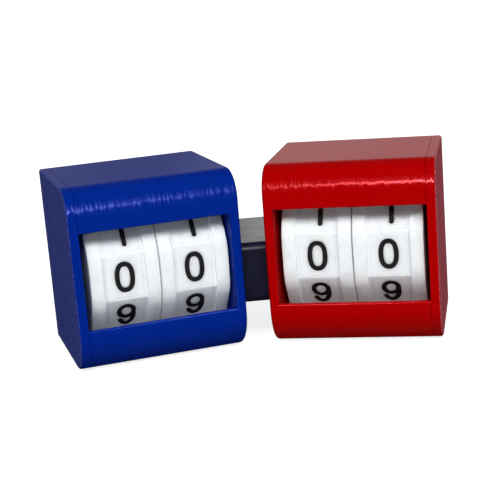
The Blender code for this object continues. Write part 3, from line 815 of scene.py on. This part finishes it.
# The lines of filament that show on a flat, by their distance from its edge. Real ones are 0.45 mm apart.
# They are drawn 1.2 mm apart, so that each shows, and only near the edge.
LINE_SPACING = 0.6 * MM
LINE_CORE, LINE_EDGE = 0.04 * MM, 0.2 * MM
LINES_START, LINES_FADE, LINES_END = 0.3 * MM, 1.5 * MM, 1.8 * MM
LINE_DEPTH = 0.02 * MM
CLOUD = 3.5 * MM


def white_pla(band_half):
    """White PLA, a little translucent, so light blurs in its edges and greys next to the black inlays.

    The last lines of each flat's outline show faintly at its lower edge and beside the rims: they are
    shallow grooves, and painted grey as painted shade in them.
    """
    material, tree, shader = new_finish(
        "white PLA, printed flat",
        IOR=PLA_IOR,
        Specular_IOR_Level=0.25,
        Subsurface_Weight=1,
        Subsurface_Scale=2 * MM,
        Subsurface_Radius=(1, 1, 1),
    )
    flats = add(tree, "UVMap", {"uv_map": "flats"})
    apart = add(tree, "SeparateXYZ", links={0: flats.outputs[0]})
    across = add(tree, "Math", {"operation": "ABSOLUTE"}, {0: apart.outputs[0]})
    side_half = DRUM_APOTHEM * math.tan(FACET_TURN / 2)
    from_rim = add(tree, "Math", {"operation": "SUBTRACT", 0: band_half}, {1: across.outputs[0]})
    from_foot = add(tree, "Math", {"operation": "ADD", 0: side_half}, {1: apart.outputs[1]})
    inside = add(
        tree, "Math", {"operation": "MINIMUM"}, {0: from_rim.outputs[0], 1: from_foot.outputs[0]}
    )
    wave = add(tree, "Math", {"operation": "PINGPONG", 1: LINE_SPACING}, {0: inside.outputs[0]})
    lines = add(
        tree,
        "MapRange",
        {"From Min": LINE_CORE, "From Max": LINE_EDGE, "To Min": 1, "To Max": 0},
        {"Value": wave.outputs[0]},
    )
    near_edge = add(
        tree,
        "MapRange",
        {"From Min": LINES_FADE, "From Max": LINES_END, "To Min": 1, "To Max": 0},
        {"Value": inside.outputs[0]},
    )
    on_band = add(tree, "Math", {"operation": "GREATER_THAN", 1: LINES_START}, {0: inside.outputs[0]})
    outline = add(
        tree, "Math", {"operation": "MULTIPLY"}, {0: lines.outputs[0], 1: near_edge.outputs[0]}
    )
    outline = add(tree, "Math", {"operation": "MULTIPLY"}, {0: outline.outputs[0], 1: on_band.outputs[0]})
    clouds = pattern_place(tree, "Object", (CLOUD, CLOUD, CLOUD))
    cloud = add(tree, "TexNoise", {"Scale": 1, "Detail": 3, "Roughness": 0.5}, {"Vector": clouds})
    # Painted shade: the outline lines are painted grey where their grooves would be in shade. The clouds
    # vary the white at random.
    line_shade_and_cloud = add(
        tree,
        "Math",
        {"operation": "MULTIPLY_ADD", 1: 0.5},
        {0: outline.outputs[0], 2: cloud.outputs[0]},
    )
    grey = add(
        tree,
        "MapRange",
        {"From Min": 0.5, "From Max": 1.3, "To Min": 0, "To Max": 1},
        {"Value": line_shade_and_cloud.outputs[0]},
    )
    colour = add(
        tree,
        "Mix",
        {"data_type": "RGBA", 6: linear("#eff5ff"), 7: linear("#d3d8e2")},
        {0: grey.outputs[0]},
    )
    rough = add(
        tree,
        "MapRange",
        {"From Min": 0.3, "From Max": 0.7, "To Min": 0.42, "To Max": 0.55},
        {"Value": cloud.outputs[0]},
    )
    bump = add(
        tree,
        "Bump",
        {"Strength": 1, "Distance": LINE_DEPTH, "invert": True},
        {"Height": outline.outputs[0]},
    )
    tree.links.new(colour.outputs[2], shader.inputs["Base Color"])
    tree.links.new(rough.outputs[0], shader.inputs["Roughness"])
    tree.links.new(bump.outputs[0], shader.inputs["Normal"])
    return material


WHEELS = {"tens": -1, "units": 1}
drum_low, drum_high = span("left_tens_drum", places["left"])
DRUM_WIDTH = drum_high.x - drum_low.x
white_finish = white_pla(DRUM_WIDTH / 2 - RIM_WIDTH)
drum_meshes = {}
for wheel, outer_end in WHEELS.items():
    drum_meshes[wheel] = drum_mesh(outer_end, DRUM_WIDTH)
    lay_out_flats(drum_meshes[wheel])
    drum_meshes[wheel].materials.append(white_finish)

drum_places = {}
for box, place in places.items():
    for wheel in WHEELS:
        low, high = span(f"{box}_{wheel}_drum", place)
        drum_places[box, wheel] = place @ Matrix.Translation(((low.x + high.x) / 2, 0, 0))
        piece = bpy.data.objects.new(f"{box}_{wheel}_drum_print", drum_meshes[wheel])
        bpy.context.scene.collection.objects.link(piece)
        piece.matrix_world = drum_places[box, wheel]
        smooth(piece)
        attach(piece, f"{box}_{wheel}_wheel")
        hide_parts(f"{box}_{wheel}_drum")

# The forty numerals
#
# A numeral is printed in black PLA into its pocket in the band, in the same print as the drum, and lies
# flush with it. Its strokes are 1.65 mm wide, four lines of filament side by side with round ends.

PROUD = 0.02 * MM
FILAMENT_RELIEF = 0.04 * MM
NUMERAL_FILAMENT = (0.5 * MM, 0.9 * MM, 0.5 * MM)


def black_pla(name, line, colour, crest, gloss):
    """Black PLA with lines of filament of the given width. It is a soft grey black, glossier on crests.

    Gloss is how much of its upper face the nozzle has ironed to a skin.
    """
    material, tree, shader = new_finish(
        name, IOR=PLA_IOR, Specular_IOR_Level=0.3, Coat_Roughness=0.2, Coat_IOR=1.8
    )
    place = pattern_place(tree, "Object", line)
    grain = add(tree, "TexNoise", {"Scale": 1, "Detail": 3, "Roughness": 0.6}, {"Vector": place})
    colour = add(
        tree,
        "Mix",
        {"data_type": "RGBA", 6: linear(colour), 7: linear(crest)},
        {0: grain.outputs[0]},
    )
    rough = add(
        tree,
        "MapRange",
        {"From Min": 0.3, "From Max": 0.7, "To Min": 0.5, "To Max": 0.25},
        {"Value": grain.outputs[0]},
    )
    bump = add(
        tree, "Bump", {"Strength": 1, "Distance": FILAMENT_RELIEF}, {"Height": grain.outputs[0]}
    )
    up = add(tree, "SeparateXYZ", links={0: add(tree, "TexCoord").outputs["Normal"]})
    ironed = add(
        tree,
        "MapRange",
        {"From Min": 0.8, "From Max": 0.98, "To Min": 0, "To Max": gloss},
        {"Value": up.outputs[2]},
    )
    tree.links.new(ironed.outputs[0], shader.inputs["Coat Weight"])
    tree.links.new(colour.outputs[2], shader.inputs["Base Color"])
    tree.links.new(rough.outputs[0], shader.inputs["Roughness"])
    tree.links.new(bump.outputs[0], shader.inputs["Normal"])
    return material


numeral_finish = black_pla("black PLA, inlaid", NUMERAL_FILAMENT, "#121216", "#26262b", 0)
numeral_meshes = []
for digit in range(DRUM_SIDES):
    work = numeral_solid(digit, STROKE, INLAY + PROUD)
    mesh = bpy.data.meshes.new(f"numeral_{digit}")
    work.to_mesh(mesh)
    work.free()
    mesh.materials.append(numeral_finish)
    numeral_meshes.append(mesh)

for (box, wheel), place in drum_places.items():
    for digit, mesh in enumerate(numeral_meshes):
        node = f"{box}_{wheel}_numeral_{digit}"
        piece = bpy.data.objects.new(node + "_print", mesh)
        bpy.context.scene.collection.objects.link(piece)
        piece.matrix_world = place @ facet_place(digit, BAND_APOTHEM - INLAY)
        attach(piece, f"{box}_{wheel}_wheel")
        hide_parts(node)

# The link
#
# The link is a wedge of black PLA between the boxes, with sides that lie along their end walls. It is
# printed lying flat, so its layers show as fine lines on its front. Screws come into it from both boxes.

LINK_FRONT_ROUNDING = 2.6 * MM
LINK_FRONT_STEPS = 8
LINK_EDGE = 0.3 * MM
LINK_EDGE_STEPS = 2
LINK_LAYER = (9 * MM, 9 * MM, 0.5 * MM)


def link_piece():
    low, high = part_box("link")
    corners = {}
    for vert in frame["nodes"]["link"].data.vertices:
        for end, y in (("front", low.y), ("back", high.y)):
            if abs(vert.co.y - y) < CLOSE:
                corners[end] = max(corners.get(end, 0), vert.co.x)
    around = ((-1, low.z), (1, low.z), (1, high.z), (-1, high.z))
    work = bmesh.new()
    rings = [
        [work.verts.new((side * corners[end], y, z)) for side, z in around]
        for end, y in (("front", low.y), ("back", high.y))
    ]
    for index in range(4):
        work.faces.new((rings[0][index - 1], rings[0][index], rings[1][index], rings[1][index - 1]))
    work.faces.new(rings[0])
    work.faces.new(rings[1])
    bmesh.ops.recalc_face_normals(work, faces=work.faces)

    def across_the_front(first, second):
        return max(first.y, second.y) < low.y + CLOSE and abs(first.z - second.z) < CLOSE

    def behind_the_front(first, second):
        return min(first.y, second.y) >= low.y + LINK_FRONT_ROUNDING + CLOSE

    round_edges(work, across_the_front, LINK_FRONT_ROUNDING, LINK_FRONT_STEPS)
    round_edges(work, behind_the_front, LINK_EDGE, LINK_EDGE_STEPS)
    piece = piece_from(work, "link_print", Matrix.Identity(4))
    smooth(piece)
    return piece


piece = link_piece()
piece.data.materials.append(
    black_pla("black PLA, printed in layers", LINK_LAYER, "#0d0f28", "#1a1a2e", 1)
)
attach(piece, "casing")
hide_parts("link")

# The axles, the detent strips and the screws
#
# They lie inside the boxes: grey printed rods, clear strips cut from flexible sheet, and countersunk steel
# screws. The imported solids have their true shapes, so they stay and get their finishes here.


INNER_RELIEF = 0.02 * MM
ROUGHNESS_SPREAD = 0.08


def plain_finish(name, dark, pale, sizes, roughness, **constants):
    """A finish whose colour, gloss and relief all follow one pattern of the given sizes."""
    material, tree, shader = new_finish(name, **constants)
    place = pattern_place(tree, "Object", sizes)
    pattern = add(tree, "TexNoise", {"Scale": 1, "Detail": 3}, {"Vector": place})
    colour = add(
        tree,
        "Mix",
        {"data_type": "RGBA", 6: linear(dark), 7: linear(pale)},
        {0: pattern.outputs[0]},
    )
    rough = add(
        tree,
        "MapRange",
        {"To Min": roughness - ROUGHNESS_SPREAD, "To Max": roughness + ROUGHNESS_SPREAD},
        {"Value": pattern.outputs[0]},
    )
    bump = add(tree, "Bump", {"Distance": INNER_RELIEF}, {"Height": pattern.outputs[0]})
    tree.links.new(colour.outputs[2], shader.inputs["Base Color"])
    tree.links.new(rough.outputs[0], shader.inputs["Roughness"])
    tree.links.new(bump.outputs[0], shader.inputs["Normal"])
    return material


# A mid grey with faint lines along the rod, one to a layer
grey_finish = plain_finish(
    "grey PLA, printed lying",
    "#7b7c80",
    "#8d8e92",
    (4 * MM, 4 * MM, 0.5 * MM),
    0.45,
    IOR=PLA_IOR,
)
# A milky, glossy sheet that lets some light through, with faint lines from its rolling
strip_finish = plain_finish(
    "clear PET sheet",
    "#b9c2c6",
    "#cfd6d9",
    (6 * MM, 0.4 * MM, 6 * MM),
    0.2,
    IOR=1.57,
    Transmission_Weight=0.35,
)
# Bright metal with a fine even mottle
steel_finish = plain_finish(
    "zinc-plated steel",
    "#a5a6aa",
    "#c3c4c7",
    (0.8 * MM, 0.8 * MM, 0.8 * MM),
    0.3,
    Metallic=1,
)
for name, node in frame["nodes"].items():
    for ending, finish in (("_axle", grey_finish), ("_strip", strip_finish), ("_screw", steel_finish)):
        if name.endswith(ending):
            for slot in node.material_slots:
                slot.material = finish

# The floor, the light and the camera
#
# The board stands on a wide white table. A wide lit sheet above the front is the main light. A lamp there
# makes the bright bands, and a pale wall behind gives the tops and the link their sheen.

FLOOR_HALF = 12.0
SPECKLES = 400
# The table's own glow grows from this level to 1 between these distances from the middle of the board, so
# the shadow fades out
SHADE_LEVEL, SHADE_START, SHADE_END = 0.84, 0.07, 0.2


def floor_piece():
    work = bmesh.new()
    corners = [(-1, -1), (1, -1), (1, 1), (-1, 1)]
    work.faces.new([work.verts.new((FLOOR_HALF * x, FLOOR_HALF * y, 0)) for x, y in corners])
    return piece_from(work, "floor", Matrix.Identity(4))


material = bpy.data.materials.new("white table top")
material.use_nodes = True
tree = material.node_tree
tree.nodes.clear()
place = add(tree, "TexCoord").outputs["Object"]
speckle = add(tree, "TexNoise", {"Scale": SPECKLES, "Detail": 2}, {"Vector": place})
paper = add(
    tree,
    "Mix",
    {"data_type": "RGBA", 6: linear("#c8c8c8"), 7: linear("#cecece")},
    {0: speckle.outputs[0]},
)
matt = add(tree, "BsdfDiffuse", links={"Color": paper.outputs[2]})
reach = add(tree, "VectorMath", {"operation": "LENGTH"}, {0: place})
# The table shows white, but near the board its shadow shows
level = add(
    tree,
    "MapRange",
    {
        "From Min": SHADE_START,
        "From Max": SHADE_END,
        "To Min": SHADE_LEVEL,
        "To Max": 1,
        "interpolation_type": "SMOOTHSTEP",
    },
    {"Value": reach.outputs["Value"]},
)
glow = add(tree, "Emission", links={"Strength": level.outputs[0]})
both = add(tree, "AddShader", links={0: matt.outputs[0], 1: glow.outputs[0]})
path = add(tree, "LightPath")
seen = add(
    tree,
    "MixShader",
    links={0: path.outputs["Is Camera Ray"], 1: matt.outputs[0], 2: both.outputs[0]},
)
add(tree, "OutputMaterial", links={"Surface": seen.outputs[0]})
floor = floor_piece()
floor.data.materials.append(material)
floor.visible_glossy = False

WHITE = (1, 1, 1, 1)
world = bpy.data.worlds.new("studio")
bpy.context.scene.world = world
world.use_nodes = True
tree = world.node_tree
tree.nodes.clear()
toward = add(tree, "SeparateXYZ", links={0: add(tree, "TexCoord").outputs["Generated"]})
# The wall behind: from the table up to about 25 degrees, and palest a little right of the middle
low_band = add(
    tree,
    "MapRange",
    {"From Min": 0.5, "From Max": 0.3, "To Min": 0, "To Max": 1, "interpolation_type": "SMOOTHSTEP"},
    {"Value": toward.outputs[2]},
)
above_table = add(
    tree,
    "MapRange",
    {"From Min": -0.06, "From Max": 0.04, "To Min": 0, "To Max": 1, "interpolation_type": "SMOOTHSTEP"},
    {"Value": toward.outputs[2]},
)
behind = add(
    tree,
    "MapRange",
    {"From Min": 0.3, "From Max": 0.8, "To Min": 0, "To Max": 1, "interpolation_type": "SMOOTHSTEP"},
    {"Value": toward.outputs[1]},
)
rightward = add(
    tree,
    "MapRange",
    {"From Min": 0, "From Max": 0.05, "To Min": 0.04, "To Max": 0.62},
    {"Value": toward.outputs[0]},
)
further = add(
    tree,
    "MapRange",
    {"From Min": 0.06, "From Max": 0.14, "To Min": 1, "To Max": 0.65},
    {"Value": toward.outputs[0]},
)
leftward = add(
    tree,
    "MapRange",
    {"From Min": -0.06, "From Max": -0.12, "To Min": 0, "To Max": 0.16},
    {"Value": toward.outputs[0]},
)
rightward = add(
    tree,
    "Math",
    {"operation": "MULTIPLY_ADD"},
    {0: rightward.outputs[0], 1: further.outputs[0], 2: leftward.outputs[0]},
)
wall = add(tree, "Math", {"operation": "MULTIPLY"}, {0: low_band.outputs[0], 1: behind.outputs[0]})
sideways = add(tree, "Math", {"operation": "ABSOLUTE"}, {0: toward.outputs[0]})
sides = add(
    tree,
    "MapRange",
    {"From Min": 0.5, "From Max": 0.9, "To Min": 0.05, "To Max": 0.25},
    {"Value": sideways.outputs[0]},
)
wall = add(
    tree,
    "Math",
    {"operation": "MULTIPLY_ADD"},
    {0: wall.outputs[0], 1: rightward.outputs[0], 2: sides.outputs[0]},
)
wall = add(tree, "Math", {"operation": "MULTIPLY"}, {0: wall.outputs[0], 1: above_table.outputs[0]})
room = add(tree, "Background", {"Color": WHITE}, {"Strength": wall.outputs[0]})
white = add(tree, "Background", {"Color": WHITE, "Strength": 1})
path = add(tree, "LightPath")
seen = add(
    tree,
    "MixShader",
    links={0: path.outputs["Is Camera Ray"], 1: room.outputs[0], 2: white.outputs[0]},
)
add(tree, "OutputWorld", links={"Surface": seen.outputs[0]})


def softbox(name, place, aim, size, level):
    """A flat lamp that lights the aim at the level, where 1 shows a facing white as white."""
    lamp = bpy.data.lights.new(name, "AREA")
    lamp.shape = "RECTANGLE"
    lamp.size, lamp.size_y = size
    reach = Vector(aim) - Vector(place)
    lamp.energy = level * HALF_TURN**2 * reach.length_squared
    thing = bpy.data.objects.new(name, lamp)
    bpy.context.scene.collection.objects.link(thing)
    thing.location = place
    thing.rotation_euler = reach.to_track_quat("-Z", "Y").to_euler()
    return thing


# The lamp makes the highlights, and the sheet, which is too wide for one, lights the colours. Both look at
# the middle of the board.
AIM = (0, 0, 0.035)
LAMP_PLACE, LAMP_SIZE, LAMP_LEVEL = (-0.05, -1.0, 0.55), (0.5, 0.08), 0.75
SHEET_PLACE, SHEET_SIZE, SHEET_LEVEL = (0, -1.0, 0.87), (1.4, 0.36), 1.18
lamp = softbox("lamp in front", LAMP_PLACE, AIM, LAMP_SIZE, LAMP_LEVEL)
lamp.visible_diffuse = False
sheet = softbox("lit sheet above", SHEET_PLACE, AIM, SHEET_SIZE, SHEET_LEVEL)
sheet.visible_glossy = False

# The camera's lens, place and direction are those of the photo, fitted to the board's corners in it
LENS = 88.28
SENSOR_WIDTH = 36
CAMERA_PLACE = Vector((-0.01856, -0.43824, 0.13478))
RIGHT = Vector((0.99532, -0.05893, -0.07652))
FORWARD = Vector((0.04007, 0.97283, -0.22801)).normalized()
UP = RIGHT.cross(FORWARD).normalized()
camera = bpy.data.cameras.new("camera")
camera.sensor_width = SENSOR_WIDTH
camera.lens = LENS
view = bpy.data.objects.new("camera", camera)
bpy.context.scene.collection.objects.link(view)
facing = Matrix((FORWARD.cross(UP), UP, -FORWARD)).transposed()
view.matrix_world = Matrix.Translation(CAMERA_PLACE) @ facing.to_4x4()
bpy.context.scene.camera = view
bpy.context.scene.view_settings.view_transform = "Standard"
